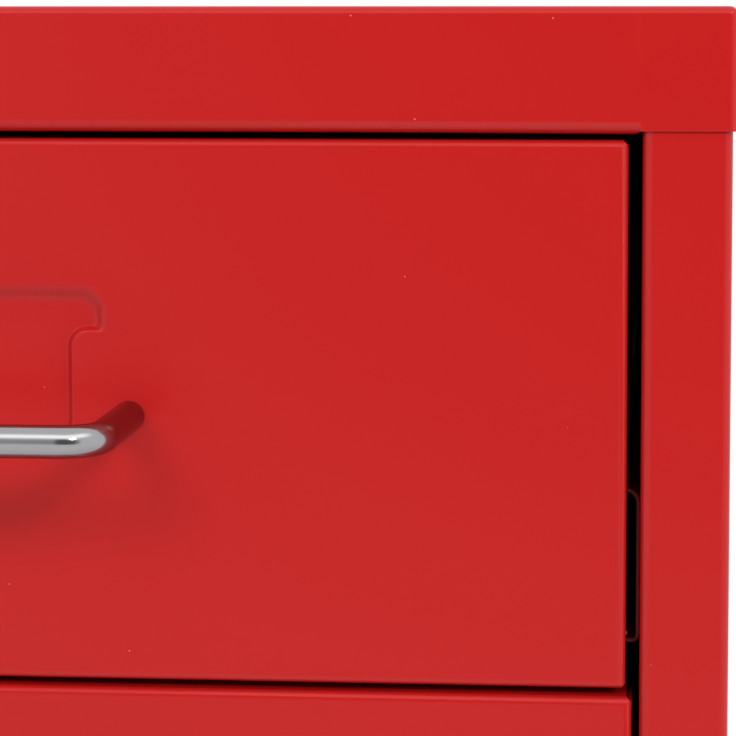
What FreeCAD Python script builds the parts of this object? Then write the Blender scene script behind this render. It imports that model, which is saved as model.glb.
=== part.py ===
import FreeCAD
import Part
import math
import os

# Drawer cabinet of folded sheet steel on castors, in millimetres.
# X runs to the right seen from the front, Y to the back and Z up.
# The origin is on the floor, in the middle of the cabinet's outer box.

# Casing
drawer_count = 6
body_width = 279.0
body_depth = 410.0
casing_sheet = 0.6
casing_bend = 1.8
stile_width = 15.65
lip_depth = 26.0
seam_gap = 0.2

# Top cover, a folded lid whose skirt hangs outside the casing
cover_sheet = 0.5
cover_skirt = 21.9
cover_bend = 1.5
cover_lip_bend = 2.4
cover_lip_drop = 0.35
cover_lip_depth = 12.0

# Base pan and back panel
base_rail_height = 21.8
base_flange_height = 20.0
rail_return = 12.0
back_flange = 12.0
foot_gap = 1.4
head_gap = 1.05

# Drawer fronts, folded pans with a pressed recess for a label
front_side_gap = 2.05
front_height = 97.0
front_gap = 1.5
front_sheet = 0.6
front_bend = 1.5
front_flange = 11.0
corner_relief = 0.8
side_play = 1.0
rest_shift_shares = (-0.4, 0.75, -0.2, 0.45, -0.6, 0.3)

# Label recess, measured from the upper edge and the middle of a front
recess_top = 26.2
recess_ledge = 33.6
recess_bottom = 53.0
recess_wide_half = 29.0
recess_narrow_half = 23.2
recess_depth = 1.0
recess_corner = 4.6
recess_step_corner = 1.0
recess_step_fillet = 2.7
recess_foot_corner = 3.0
recess_top_run = 2.3
recess_side_run = 1.6
recess_ledge_run = 0.4
recess_narrow_run = 0.8

# Handles, bent from one wire
wire_diameter = 5.4
handle_centres = 67.0
handle_projection = 32.0
handle_bend = 6.5
handle_drop = 0.6
thread_diameter = 3.0
thread_depth = 9.0
screw_grip = 7.5
screw_head_diameter = 6.4
screw_head_height = 2.0
screw_clearance = 0.4

# Drawer trays
tray_side_room = 12.85
tray_back_room = 25.4
tray_head_room = 16.4
tray_sheet = 0.5
tray_bend = 1.5
tray_tab_gap = 1.2
tray_tab_foot = 3.0
tray_front_lip = 9.0
tray_rim = 5.0

# Runners on the casing and slides on the drawers
runner_foot = 5.7
runner_height = 28.4
runner_flange = 11.0
runner_sheet = 0.8
runner_top_bend = 3.0
runner_foot_bend = 1.5
runner_front_gap = 2.0
runner_back_gap = 2.0
slide_sheet = 0.8
slide_bend = 1.5
slide_front_gap = 3.0
slide_back_room = 34.0
slide_top_flange = 6.5
slide_foot_gap = 0.3
slide_head_gap = 0.5
slide_stop_side_gap = 0.55
slide_stop_head_gap = 1.3

# Stops that end a drawer's travel, and the hooks that hold a runner
out_stop_setback = 60.0
out_stop_flange_gap = 1.3
out_stop_drop = 6.0
out_stop_side_gap = 1.45
in_stop_reach = 9.0
in_stop_height = 18.0
stop_gap = 0.4
hook_setback = 5.0
hook_height = 8.0
hook_foot = 9.0
hook_drop = 3.0
hook_reach = 1.8
hook_slack = 0.2
slot_side_gap = 0.6
slot_head_gap = 0.5

# Castors
castor_inset = 38.0
castor_trail = 14.0
wheel_diameter = 40.0
wheel_width = 17.0
wheel_shoulder = 2.0
wheel_dish_diameter = 29.0
wheel_dish_depth = 4.0
hub_diameter = 13.0
hub_width = 19.0
axle_diameter = 6.0
axle_clearance = 0.3
axle_head_diameter = 9.0
axle_head_height = 1.5
hub_side_gap = 0.3
wheel_head_gap = 6.0
fork_sheet = 1.5
fork_bend = 3.0
fork_front_reach = 13.0
fork_back_reach = 16.0
fork_cheek = 6.5
fork_foot_round = 6.3
fork_brow = 7.0
race_diameter = 30.0
race_height = 3.2
race_gap = 0.3
stem_head_diameter = 26.0
stem_head_height = 3.0
stem_diameter = 8.0
stem_clearance = 0.3
stem_rise = 10.0
stem_rivet_diameter = 13.0
stem_rivet_height = 1.5
nut_flange_diameter = 19.0
nut_flange_height = 1.6
nut_width = 13.0
nut_height = 7.5

# Flats that stand for the curves of pieces that repeat
fold_flat_count = 2
curve_flat_count = 3
wire_sides = 10
wire_bend_steps = 4
pin_sides = 10
thread_sides = 6
nut_sides = 6
wheel_sides = 20

# Places worked out from the sizes above
handle_reach = handle_projection + wire_diameter / 2
overall_depth = handle_reach + body_depth + cover_sheet
face_y = handle_reach - overall_depth / 2
back_y = face_y + body_depth
half_body = body_width / 2
half_opening = half_body - stile_width
front_width = 2 * (half_opening - front_side_gap)
wheel_radius = wheel_diameter / 2
fork_gap = hub_width + 2 * hub_side_gap
fork_half = fork_gap / 2 + fork_sheet
fork_crown = wheel_diameter + wheel_head_gap
fork_height = fork_crown + fork_sheet
castor_height = fork_height + race_height + race_gap + stem_head_height
rail_top = castor_height + base_rail_height
front_pitch = front_height + front_gap
stack_top = rail_top + foot_gap + drawer_count * front_pitch - front_gap
cover_lip_z = stack_top + head_gap
skirt_z = cover_lip_z + cover_lip_drop
overall_height = skirt_z + cover_skirt
casing_foot = castor_height + casing_sheet
wall_top = overall_height - cover_bend
infill_width = 2 * (half_opening - seam_gap)
handle_z = front_height / 2 - handle_drop
tray_width = 2 * (half_opening - tray_side_room)
tray_length = body_depth - tray_back_room - front_sheet
tray_head = front_height - tray_head_room
tray_tab_reach = front_width / 2 - front_sheet - tray_tab_gap
runner_start = front_flange + runner_front_gap
runner_end = body_depth - back_flange - runner_back_gap
slide_start = front_flange + slide_front_gap
slide_end = body_depth - slide_back_room
out_stop_room = tray_side_room - runner_sheet - slide_top_flange
out_stop_width = out_stop_room - out_stop_side_gap - out_stop_flange_gap
slot_width = runner_sheet + 2 * slot_side_gap
drawer_travel = slide_end - slide_sheet - out_stop_setback - runner_sheet - stop_gap

AXES = {
    "x": FreeCAD.Vector(1, 0, 0),
    "y": FreeCAD.Vector(0, 1, 0),
    "z": FreeCAD.Vector(0, 0, 1),
}
PLACES = {
    "x": lambda u, v, w: FreeCAD.Vector(w, u, v),
    "y": lambda u, v, w: FreeCAD.Vector(u, w, v),
    "z": lambda u, v, w: FreeCAD.Vector(u, v, w),
}


def centred(width):
    """Limits of a width that is centred on zero."""
    return (-width / 2, width / 2)


def block(x_range, y_range, z_range):
    """A box between two limits along each axis."""
    spans = (x_range, y_range, z_range)
    low = FreeCAD.Vector(*[span[0] for span in spans])
    return Part.makeBox(*[span[1] - span[0] for span in spans], low)


def mirrored(shape):
    """The same piece for the other side of the cabinet."""
    return shape.mirror(FreeCAD.Vector(0, 0, 0), AXES["x"])


def moved(shape, x, y, z):
    """A copy of a piece at another place."""
    copy = shape.copy()
    copy.translate(FreeCAD.Vector(x, y, z))
    return copy


def corner_arcs(corners):
    """Start, end and centre of each corner's arc; a corner is u, v and a radius."""
    arcs = []
    for index, (u, v, radius) in enumerate(corners):
        here = FreeCAD.Vector(u, v, 0)
        before = FreeCAD.Vector(*corners[index - 1][:2], 0)
        after = FreeCAD.Vector(*corners[(index + 1) % len(corners)][:2], 0)
        back = (before - here).normalize()
        on = (after - here).normalize()
        half_angle = back.getAngle(on) / 2
        run = radius / math.tan(half_angle)
        centre = here + (back + on).normalize() * (radius / math.sin(half_angle))
        arcs.append((here + back * run, here + on * run, centre))
    return arcs


def flat_outline(corners, flats):
    """Points of a closed outline whose rounded corners are a few flats each."""
    points = []
    for start, end, centre in corner_arcs(corners):
        if (end - start).Length == 0:
            points.append(start)
            continue
        first = start - centre
        last = end - centre
        angle = first.getAngle(last)
        for step in range(flats + 1):
            turn = angle * step / flats
            share = math.sin(angle - turn) / math.sin(angle)
            points.append(centre + first * share + last * (math.sin(turn) / math.sin(angle)))
    return points


def prism(axis, corners, span, flats=fold_flat_count):
    """An outline with rounded corners, extruded along an axis."""
    points = [PLACES[axis](point.x, point.y, span[0]) for point in flat_outline(corners, flats)]
    wire = Part.makePolygon(points + points[:1])
    return Part.Face(wire).extrude(AXES[axis] * (span[1] - span[0]))


def soft_block(ranges, folds):
    """A box with folded edges. For an axis, folds gives the radius at pairs of ends of the other two."""
    shape = None
    for axis, radii in folds.items():
        u_range, v_range = [ranges[name] for name in "xyz" if name != axis]
        corners = []
        for ends in ((0, 0), (1, 0), (1, 1), (0, 1)):
            corners.append((u_range[ends[0]], v_range[ends[1]], radii.get(ends, 0)))
        part = prism(axis, corners, ranges[axis])
        shape = shape.common(part) if shape else part
    return shape


def sheet_form(outer, inner, folds, sheet):
    """Folded sheet: an outer box less the room inside it, with the folds' radii a sheet smaller inside."""
    inner_folds = {
        axis: {ends: radius - sheet for ends, radius in radii.items()} for axis, radii in folds.items()
    }
    room = {**outer, **inner}
    return soft_block(outer, folds).cut(soft_block(room, inner_folds))


def faceted(rings, closed=False):
    """A solid of flat faces through rings of matching points."""
    following = rings[1:] + rings[:1] if closed else rings[1:]
    faces = []
    for ring, other in zip(rings, following):
        for index in range(len(ring)):
            corners = [ring[index - 1], ring[index], other[index], other[index - 1]]
            faces.append(Part.Face(Part.makePolygon(corners + corners[:1])))
    if not closed:
        faces += [Part.Face(Part.makePolygon(ring + ring[:1])) for ring in (rings[0], rings[-1])]
    shell = Part.makeShell(faces)
    shell.sewShape()
    solid = Part.makeSolid(shell)
    if solid.Volume < 0:
        solid.reverse()
    return solid


def polygon(centre, radius, sides, across, other):
    """Points of a regular polygon whose flats lie at the radius, one of them square to across."""
    reach = radius / math.cos(math.pi / sides)
    points = []
    for index in range(sides):
        angle = (2 * index + 1) * math.pi / sides
        points.append(centre + (across * math.cos(angle) + other * math.sin(angle)) * reach)
    return points


def turned(stations, axis, sides, centre=(0, 0, 0), closed=False):
    """A turned piece; a station is a distance along the axis and a radius. Closed leaves a bore."""
    along = AXES[axis]
    across = AXES["x"] if axis == "z" else AXES["z"]
    other = along.cross(across)
    middle = FreeCAD.Vector(*centre)
    rings = [polygon(middle + along * run, radius, sides, across, other) for run, radius in stations]
    return faceted(rings, closed)


def pin(diameter, span, axis, sides, centre=(0, 0, 0)):
    """A plain round piece or hole between two limits along its axis."""
    return turned([(span[0], diameter / 2), (span[1], diameter / 2)], axis, sides, centre)


def drawer_foot(index):
    """Lower edge of a drawer front, counted from the top."""
    return stack_top - front_height - index * front_pitch


def hook_places():
    """Middle of the front and back hook of a runner along the depth."""
    front = face_y + runner_start + hook_setback
    back = face_y + runner_end - hook_setback
    return (front, back)


def hook_slots():
    """Slots in the right lips, in which the runners' hooks hang."""
    lip_x = (half_opening, half_opening + casing_sheet)
    slots = []
    for index in range(drawer_count):
        foot = drawer_foot(index) + runner_foot + hook_foot
        for middle in hook_places():
            y_range = (middle - slot_width / 2, middle + slot_width / 2)
            slots.append(block(lip_x, y_range, (foot, foot + hook_height + hook_drop + slot_head_gap)))
    return slots


def side_panel():
    """Right side: outer wall, stiles at front and back, and a lip along each stile."""
    outer = {"x": (half_opening, half_body), "y": (face_y, back_y), "z": (casing_foot, wall_top)}
    inner = {
        "x": (half_opening + casing_sheet, half_body - casing_sheet),
        "y": (face_y + casing_sheet, back_y - casing_sheet),
    }
    folds = {"z": {(0, 0): casing_bend, (1, 0): casing_bend, (1, 1): casing_bend, (0, 1): casing_bend}}
    tube = sheet_form(outer, inner, folds, casing_sheet)
    mouth_x = (half_opening, half_opening + casing_sheet)
    mouth = block(mouth_x, (face_y + lip_depth, back_y - lip_depth), outer["z"])
    return tube.cut(Part.makeCompound([mouth] + hook_slots()))


def top_cover():
    """Lid with skirts on four sides and a rolled lip under its front edge, over the opening."""
    outer = {
        "x": centred(body_width + 2 * cover_sheet),
        "y": (face_y - cover_sheet, back_y + cover_sheet),
        "z": (skirt_z, overall_height),
    }
    inner = {"x": centred(body_width), "y": (face_y, back_y), "z": (skirt_z, overall_height - cover_sheet)}
    top_edges = {(0, 1): cover_bend, (1, 1): cover_bend}
    corners = {(0, 0): cover_bend, (1, 0): cover_bend, (1, 1): cover_bend, (0, 1): cover_bend}
    folds = {"x": top_edges, "y": top_edges, "z": corners}
    lid = sheet_form(outer, inner, folds, cover_sheet)
    roll_top = cover_lip_z + cover_lip_bend
    lip = {
        "x": centred(infill_width),
        "y": (face_y - cover_sheet, face_y + cover_lip_depth),
        "z": (cover_lip_z, roll_top),
    }
    above = {"y": (face_y, face_y + cover_lip_depth), "z": (cover_lip_z + cover_sheet, roll_top)}
    roll = sheet_form(lip, above, {"x": {(0, 0): cover_lip_bend}}, cover_sheet)
    return lid.fuse(roll).removeSplitter()


def castor_places():
    """Swivel axes of the castors: front left, front right, back left, back right."""
    x = half_body - castor_inset
    front = face_y + castor_inset
    back = back_y - castor_inset
    return [(-x, front), (x, front), (-x, back), (x, back)]


def base_pan():
    """Floor with a front rail between the stiles and flanges inside the other walls."""
    floor_z = (castor_height, casing_foot)
    floor = block(centred(body_width), (face_y, back_y), floor_z)
    rail = {"x": centred(infill_width), "y": (face_y, face_y + rail_return), "z": (castor_height, rail_top)}
    room = {"y": (face_y + casing_sheet, face_y + rail_return), "z": (casing_foot, rail_top - casing_sheet)}
    channel = sheet_form(rail, room, {"x": {(0, 0): casing_bend, (0, 1): casing_bend}}, casing_sheet)
    floor = floor.cut(block(rail["x"], rail["y"], floor_z))
    flange_z = (castor_height, castor_height + base_flange_height)
    side_x = (half_body - 2 * casing_sheet, half_body - casing_sheet)
    side = block(side_x, (face_y + lip_depth, back_y - lip_depth), flange_z)
    rear_y = (back_y - 2 * casing_sheet, back_y - casing_sheet)
    rear = block(centred(infill_width - 2 * casing_bend), rear_y, flange_z)
    pan = floor.multiFuse([channel, side, mirrored(side), rear]).removeSplitter()
    hole = stem_diameter + 2 * stem_clearance
    holes = [pin(hole, floor_z, "z", pin_sides, (x, y, 0)) for x, y in castor_places()]
    return pan.cut(Part.makeCompound(holes))


def back_panel():
    """Sheet between the rear stiles, with a flange along each side against the lips."""
    front = back_y - back_flange
    outer = {"x": centred(infill_width), "y": (front, back_y), "z": (casing_foot, wall_top)}
    inner = {"x": centred(infill_width - 2 * casing_sheet), "y": (front, back_y - casing_sheet)}
    return sheet_form(outer, inner, {"z": {(0, 1): casing_bend, (1, 1): casing_bend}}, casing_sheet)


def recess_outline(floor_share, y, growth=0.0):
    """Label recess from its mouth, share 0, to its floor, share 1, grown all round."""
    wide = recess_wide_half - floor_share * recess_side_run + growth
    narrow = recess_narrow_half - floor_share * recess_narrow_run + growth
    top = -recess_top - floor_share * recess_top_run + growth
    ledge = -recess_ledge + floor_share * recess_ledge_run - growth
    bottom = -recess_bottom + floor_share * recess_narrow_run - growth
    corner = recess_corner - floor_share * recess_side_run + growth
    step_corner = recess_step_corner - floor_share * recess_ledge_run + growth
    step_fillet = recess_step_fillet + floor_share * recess_narrow_run - growth
    foot_corner = recess_foot_corner - floor_share * recess_narrow_run + growth
    right = [
        (narrow, bottom, foot_corner),
        (narrow, ledge, step_fillet),
        (wide, ledge, step_corner),
        (wide, top, corner),
    ]
    left = [(-u, v, radius) for u, v, radius in reversed(right)]
    outline = flat_outline(right + left, curve_flat_count)
    return [FreeCAD.Vector(point.x, y, front_height + point.y) for point in outline]


def drawer_front():
    """Front pan of one drawer: its face and lower edge at zero, its recess pressed to the back."""
    outer = {"x": centred(front_width), "y": (0, front_flange), "z": (0, front_height)}
    inner = {
        "x": centred(front_width - 2 * front_sheet),
        "y": (front_sheet, front_flange),
        "z": (front_sheet, front_height - front_sheet),
    }
    folds = {"x": {(0, 0): front_bend, (0, 1): front_bend}, "z": {(0, 0): front_bend, (1, 0): front_bend}}
    pan = sheet_form(outer, inner, folds, front_sheet)
    press = faceted([recess_outline(0, 0), recess_outline(1, recess_depth)])
    swell = front_sheet / 2
    boss_mouth = recess_outline(0, front_sheet, swell)
    boss = faceted([boss_mouth, recess_outline(1, recess_depth + front_sheet, swell)])
    holes = []
    for x in centred(front_width - corner_relief):
        for z in (corner_relief / 2, front_height - corner_relief / 2):
            x_range = (x - corner_relief / 2, x + corner_relief / 2)
            z_range = (z - corner_relief / 2, z + corner_relief / 2)
            holes.append(block(x_range, outer["y"], z_range))
    for x in centred(handle_centres):
        hole = thread_diameter + screw_clearance
        holes.append(pin(hole, (0, front_sheet), "y", thread_sides, (x, 0, handle_z)))
    return pan.fuse(boss).cut(press).cut(Part.makeCompound(holes)).removeSplitter()


def handle():
    """Wire handle with its feet on the front's face and a tapped hole in each foot."""
    half = handle_centres / 2
    straight = handle_projection - handle_bend
    stations = [(half, 0, 0.0)]
    for step in range(wire_bend_steps + 1):
        angle = step * math.pi / 2 / wire_bend_steps
        x = half - handle_bend * (1 - math.cos(angle))
        stations.append((x, -straight - handle_bend * math.sin(angle), angle))
    stations += [(-x, y, math.pi - angle) for x, y, angle in reversed(stations)]
    rings = []
    for x, y, angle in stations:
        across = FreeCAD.Vector(math.cos(angle), -math.sin(angle), 0)
        centre = FreeCAD.Vector(x, y, handle_z)
        rings.append(polygon(centre, wire_diameter / 2, wire_sides, across, AXES["z"]))
    bores = []
    for x in centred(handle_centres):
        bores.append(pin(thread_diameter, (-thread_depth, 0), "y", thread_sides, (x, 0, handle_z)))
    return faceted(rings).cut(Part.makeCompound(bores))


def handle_screws():
    """Two screws from inside the front into the handle's feet."""
    screws = []
    for x in centred(handle_centres):
        centre = (x, front_sheet, handle_z)
        head = pin(screw_head_diameter, (0, screw_head_height), "y", pin_sides, centre)
        shank = pin(thread_diameter, (-front_sheet - screw_grip, 0), "y", thread_sides, centre)
        screws.append(head.fuse(shank))
    return Part.makeCompound(screws)


def drawer_tray():
    """Floor, two sides and back of one drawer, with tabs behind the front's sheet."""
    back = front_sheet + tray_length
    outer = {"x": centred(tray_width), "y": (front_sheet, back), "z": (front_sheet, tray_head)}
    inner = {
        "x": centred(tray_width - 2 * tray_sheet),
        "y": (front_sheet + tray_sheet, back - tray_sheet),
        "z": (front_sheet + tray_sheet, tray_head),
    }
    foot_edges = {(0, 0): tray_bend, (1, 0): tray_bend}
    shell = sheet_form(outer, inner, {"x": foot_edges, "y": foot_edges}, tray_sheet)
    tab_y = (front_sheet, front_sheet + tray_sheet)
    mouth = block(inner["x"], tab_y, (front_sheet + tray_front_lip, tray_head))
    wall = tray_width / 2 - tray_sheet
    tab = block((wall, tray_tab_reach), tab_y, (front_sheet + tray_tab_foot, tray_head))
    rim_z = (tray_head - tray_sheet, tray_head)
    rim = block((wall, tray_width / 2 + tray_rim), (front_flange, back), rim_z)
    return shell.cut(mouth).multiFuse([tab, mirrored(tab), rim, mirrored(rim)]).removeSplitter()


def runner():
    """Right runner: a channel with stops for the slide and a hook at each end."""
    web = half_opening - runner_sheet
    tip = half_opening - runner_flange
    head = runner_foot + runner_height
    y_range = (face_y + runner_start, face_y + runner_end)
    outer = {"x": (tip, half_opening), "y": y_range, "z": (runner_foot, head)}
    inner = {"x": (tip, web), "z": (runner_foot + runner_sheet, head - runner_sheet)}
    folds = {"y": {(1, 0): runner_foot_bend, (1, 1): runner_top_bend}}
    body = sheet_form(outer, inner, folds, runner_sheet)
    stop_x = (web - out_stop_side_gap - out_stop_width, web - out_stop_side_gap)
    out_y = face_y + out_stop_setback
    stop_z = (head - runner_sheet - out_stop_drop, head - runner_sheet / 2)
    out_stop = block(stop_x, (out_y, out_y + runner_sheet), stop_z)
    in_y = face_y + slide_end + stop_gap
    middle = runner_foot + runner_height / 2
    in_z = (middle - in_stop_height / 2, middle + in_stop_height / 2)
    in_stop = block((web - in_stop_reach, half_opening), (in_y, in_y + runner_sheet), in_z)
    behind = half_opening + casing_sheet + hook_slack
    foot = runner_foot + hook_foot
    tabs = [out_stop, in_stop]
    for y in hook_places():
        hook_y = (y - runner_sheet / 2, y + runner_sheet / 2)
        tabs.append(block((web, behind + hook_reach), hook_y, (foot, foot + hook_height)))
        tabs.append(block((behind, behind + hook_reach), hook_y, (foot - hook_drop, foot + hook_height)))
    return body.multiFuse(tabs).removeSplitter()


def drawer_slides():
    """The pair of slides that are welded to a tray's sides and run in the runners."""
    web = tray_width / 2
    tip = half_opening - runner_sheet - side_play
    foot = runner_foot + runner_sheet + slide_foot_gap
    head = runner_foot + runner_height - runner_sheet - slide_head_gap
    outer = {"x": (web, tip), "y": (slide_start, slide_end), "z": (foot, head)}
    inner = {"x": (web + slide_sheet, tip), "z": (foot + slide_sheet, head - slide_sheet)}
    folds = {"y": {(0, 0): slide_bend, (0, 1): slide_bend}}
    slide = sheet_form(outer, inner, folds, slide_sheet)
    slide = slide.cut(block((web + slide_top_flange, tip), outer["y"], (head - slide_sheet, head)))
    plate_x = (web + slide_sheet / 2, tip - slide_stop_side_gap)
    plate_z = (foot + slide_sheet / 2, head - slide_stop_head_gap)
    plate = block(plate_x, (slide_end - slide_sheet, slide_end), plate_z)
    slide = slide.fuse(plate).removeSplitter()
    return Part.makeCompound([slide, mirrored(slide)])


def castor_fork():
    """Pressed fork around the swivel axis at zero, trailing to the back, with its upper race."""
    cheek_back = castor_trail + fork_cheek
    cheek_front = castor_trail - fork_cheek
    cheek_foot = wheel_radius - fork_cheek
    corners = [
        (-fork_front_reach, fork_height, fork_bend),
        (fork_back_reach, fork_height, fork_bend),
        (cheek_back, fork_crown - fork_brow, fork_bend),
        (cheek_back, cheek_foot, fork_foot_round),
        (cheek_front, cheek_foot, fork_foot_round),
        (cheek_front, wheel_radius + fork_cheek, fork_cheek),
        (-fork_front_reach, fork_crown - fork_brow, fork_bend),
    ]
    fork = prism("x", corners, centred(2 * fork_half), curve_flat_count)
    fork = fork.cut(block(centred(fork_gap), (-fork_front_reach, cheek_back), (cheek_foot, fork_crown)))
    race = pin(race_diameter, (fork_height, fork_height + race_height), "z", pin_sides)
    bore = pin(stem_diameter + 2 * stem_clearance, (fork_crown, fork_height + race_height), "z", pin_sides)
    axle = pin(axle_diameter, centred(2 * fork_half), "x", pin_sides, (0, castor_trail, wheel_radius))
    return fork.fuse(race).cut(Part.makeCompound([bore, axle])).removeSplitter()


def castor_axle():
    """Rivet through the fork's cheeks, on which the wheel turns."""
    shank = axle_diameter / 2
    head = axle_head_diameter / 2
    end = fork_half + axle_head_height
    right = [(fork_half, shank), (fork_half, head), (end, head)]
    stations = [(-run, radius) for run, radius in reversed(right)] + right
    return turned(stations, "x", pin_sides, (0, castor_trail, wheel_radius))


def castor_wheel():
    """Moulded wheel with a dished web on each side of its hub, bored for the axle."""
    half = wheel_width / 2
    bore = axle_diameter / 2 + axle_clearance
    hub = hub_diameter / 2
    dish = wheel_dish_diameter / 2
    right = [
        (half - wheel_shoulder, wheel_radius),
        (half, wheel_radius - wheel_shoulder),
        (half, dish),
        (half - wheel_dish_depth, dish),
        (half - wheel_dish_depth, hub),
        (hub_width / 2, hub),
        (hub_width / 2, bore),
    ]
    left = [(-run, radius) for run, radius in reversed(right)]
    return turned(right + left, "x", wheel_sides, (0, castor_trail, wheel_radius), closed=True)


def castor_stem():
    """Stem with its riveted foot and its head under the floor, and the flange nut above the floor."""
    shank = stem_diameter / 2
    foot = fork_crown - race_gap - stem_rivet_height
    under_head = castor_height - stem_head_height
    rivet = stem_rivet_diameter / 2
    head = stem_head_diameter / 2
    stem = turned(
        [
            (foot, rivet),
            (foot + stem_rivet_height, rivet),
            (foot + stem_rivet_height, shank),
            (under_head, shank),
            (under_head, head),
            (castor_height, head),
            (castor_height, shank),
            (casing_foot + stem_rise, shank),
        ],
        "z",
        pin_sides,
    )
    flange = pin(nut_flange_diameter, (casing_foot, casing_foot + nut_flange_height), "z", pin_sides)
    nut = flange.fuse(pin(nut_width, (casing_foot, casing_foot + nut_height), "z", nut_sides))
    return [stem, nut.removeSplitter().cut(stem)]


pieces = {
    "top_cover": top_cover(),
    "side_panel_right": side_panel(),
    "back_panel": back_panel(),
    "base_pan": base_pan(),
}
pieces["side_panel_left"] = mirrored(pieces["side_panel_right"])

drawer_pieces = {
    "drawer_front": drawer_front(),
    "drawer_tray": drawer_tray(),
    "drawer_slides": drawer_slides(),
    "handle": handle(),
    "handle_screws": handle_screws(),
}
right_runner = runner()
left_runner = mirrored(right_runner)
for index in range(drawer_count):
    number = index + 1
    foot = drawer_foot(index)
    pieces[f"runner_left_{number}"] = moved(left_runner, 0, 0, foot)
    pieces[f"runner_right_{number}"] = moved(right_runner, 0, 0, foot)
    shift = side_play * rest_shift_shares[index % len(rest_shift_shares)]
    for name, shape in drawer_pieces.items():
        pieces[f"{name}_{number}"] = moved(shape, shift, face_y, foot)

castor_pieces = {
    "castor_fork": castor_fork(),
    "castor_wheel": castor_wheel(),
    "castor_axle": castor_axle(),
}
stems = []
for number, (x, y) in enumerate(castor_places(), start=1):
    for name, shape in castor_pieces.items():
        pieces[f"{name}_{number}"] = moved(shape, x, y, 0)
    stems += [moved(solid, x, y, 0) for solid in castor_stem()]
pieces["castor_stems"] = Part.makeCompound(stems)

os.makedirs("parts", exist_ok=True)
for name, shape in pieces.items():
    shape.exportStep(f"parts/{name}.step")
print(len(pieces), "pieces; height", round(overall_height, 3), "depth", round(overall_depth, 3))
print("drawer travel", round(drawer_travel, 3), "face at", round(face_y, 3), "back at", round(back_y, 3))
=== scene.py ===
import math

import bmesh
import bpy
from mathutils import Matrix, Vector


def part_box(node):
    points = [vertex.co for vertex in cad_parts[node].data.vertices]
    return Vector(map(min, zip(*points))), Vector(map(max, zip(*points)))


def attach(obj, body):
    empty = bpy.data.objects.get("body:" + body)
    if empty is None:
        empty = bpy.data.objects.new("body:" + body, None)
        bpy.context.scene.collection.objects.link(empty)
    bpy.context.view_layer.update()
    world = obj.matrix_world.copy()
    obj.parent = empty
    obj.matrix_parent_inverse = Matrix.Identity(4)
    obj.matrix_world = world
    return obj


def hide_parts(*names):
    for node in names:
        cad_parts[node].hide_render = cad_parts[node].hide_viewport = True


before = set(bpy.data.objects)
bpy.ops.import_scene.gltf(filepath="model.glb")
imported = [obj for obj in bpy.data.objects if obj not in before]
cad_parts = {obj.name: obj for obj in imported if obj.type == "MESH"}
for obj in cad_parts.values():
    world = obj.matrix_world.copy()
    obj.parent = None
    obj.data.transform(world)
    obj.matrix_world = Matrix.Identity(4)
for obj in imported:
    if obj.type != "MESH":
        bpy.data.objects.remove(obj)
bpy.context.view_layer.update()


# Lid
# Folded from one steel sheet: a skirt on four sides, and a rolled lip where its front edge
# crosses the opening. It hooks over the casing and is powder-coated like the rest.


class Tap:
    """A socket of a node tree; sums and products of it add Math nodes to the tree."""

    def __init__(self, socket):
        self.socket = socket

    def node(self, kind, settings, inputs, output=0):
        tree = self.socket.id_data
        node = tree.nodes.new(kind)
        for name, value in settings.items():
            setattr(node, name, value)
        for name, value in inputs.items():
            if isinstance(value, Tap):
                tree.links.new(value.socket, node.inputs[name])
            else:
                node.inputs[name].default_value = value
        return Tap(node.outputs[output])

    def math(self, operation, first, second):
        return self.node("ShaderNodeMath", {"operation": operation}, {0: first, 1: second})

    def __add__(self, other):
        return self.math("ADD", self, other)

    def __sub__(self, other):
        return self.math("SUBTRACT", self, other)

    def __rsub__(self, other):
        return self.math("SUBTRACT", other, self)

    def __mul__(self, other):
        return self.math("MULTIPLY", self, other)

    def __lt__(self, other):
        return self.math("LESS_THAN", self, other)

    __radd__ = __add__
    __rmul__ = __mul__

    def noise(self, scale, detail=2.0):
        return self.node("ShaderNodeTexNoise", {}, {"Vector": self, "Scale": scale, "Detail": detail})

    def ease(self, start, end):
        limits = {0: self, 1: start, 2: end, 3: 0.0, 4: 1.0}
        return self.node("ShaderNodeMapRange", {"interpolation_type": "SMOOTHSTEP"}, limits)

    def tint(self, share, under, over):
        mix = {"data_type": "RGBA"}
        return self.node("ShaderNodeMix", mix, {0: share, 6: (*under, 1.0), 7: over}, output=2)


def finish(name, slot):
    """A new material for one of the record's slots: its shader, and the place in metres."""
    material = bpy.data.materials.new(name)
    material.use_nodes = True
    material["slot"] = slot
    shader = material.node_tree.nodes["Principled BSDF"]
    place = material.node_tree.nodes.new("ShaderNodeTexCoord").outputs["Object"]
    return material, shader, Tap(place)


def feed(shader, **sockets):
    for name, value in sockets.items():
        socket = shader.inputs[name.replace("_", " ").title()]
        if isinstance(value, Tap):
            shader.id_data.links.new(value.socket, socket)
        else:
            socket.default_value = value


paint_red = (0.450, 0.0090, 0.0080)
paint_deep = (0.436, 0.0086, 0.0080, 1.0)
dust_pale = (0.78, 0.33, 0.30, 1.0)
cloud_scale, dust_scale, dust_size, dust_share = 14.0, 130.0, 0.02, 0.5
peel_scale, peel_height, peel_strength = 900.0, 0.000006, 0.5
paint_rough, paint_rough_play, paint_gloss = 0.23, 0.06, 0.32

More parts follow.
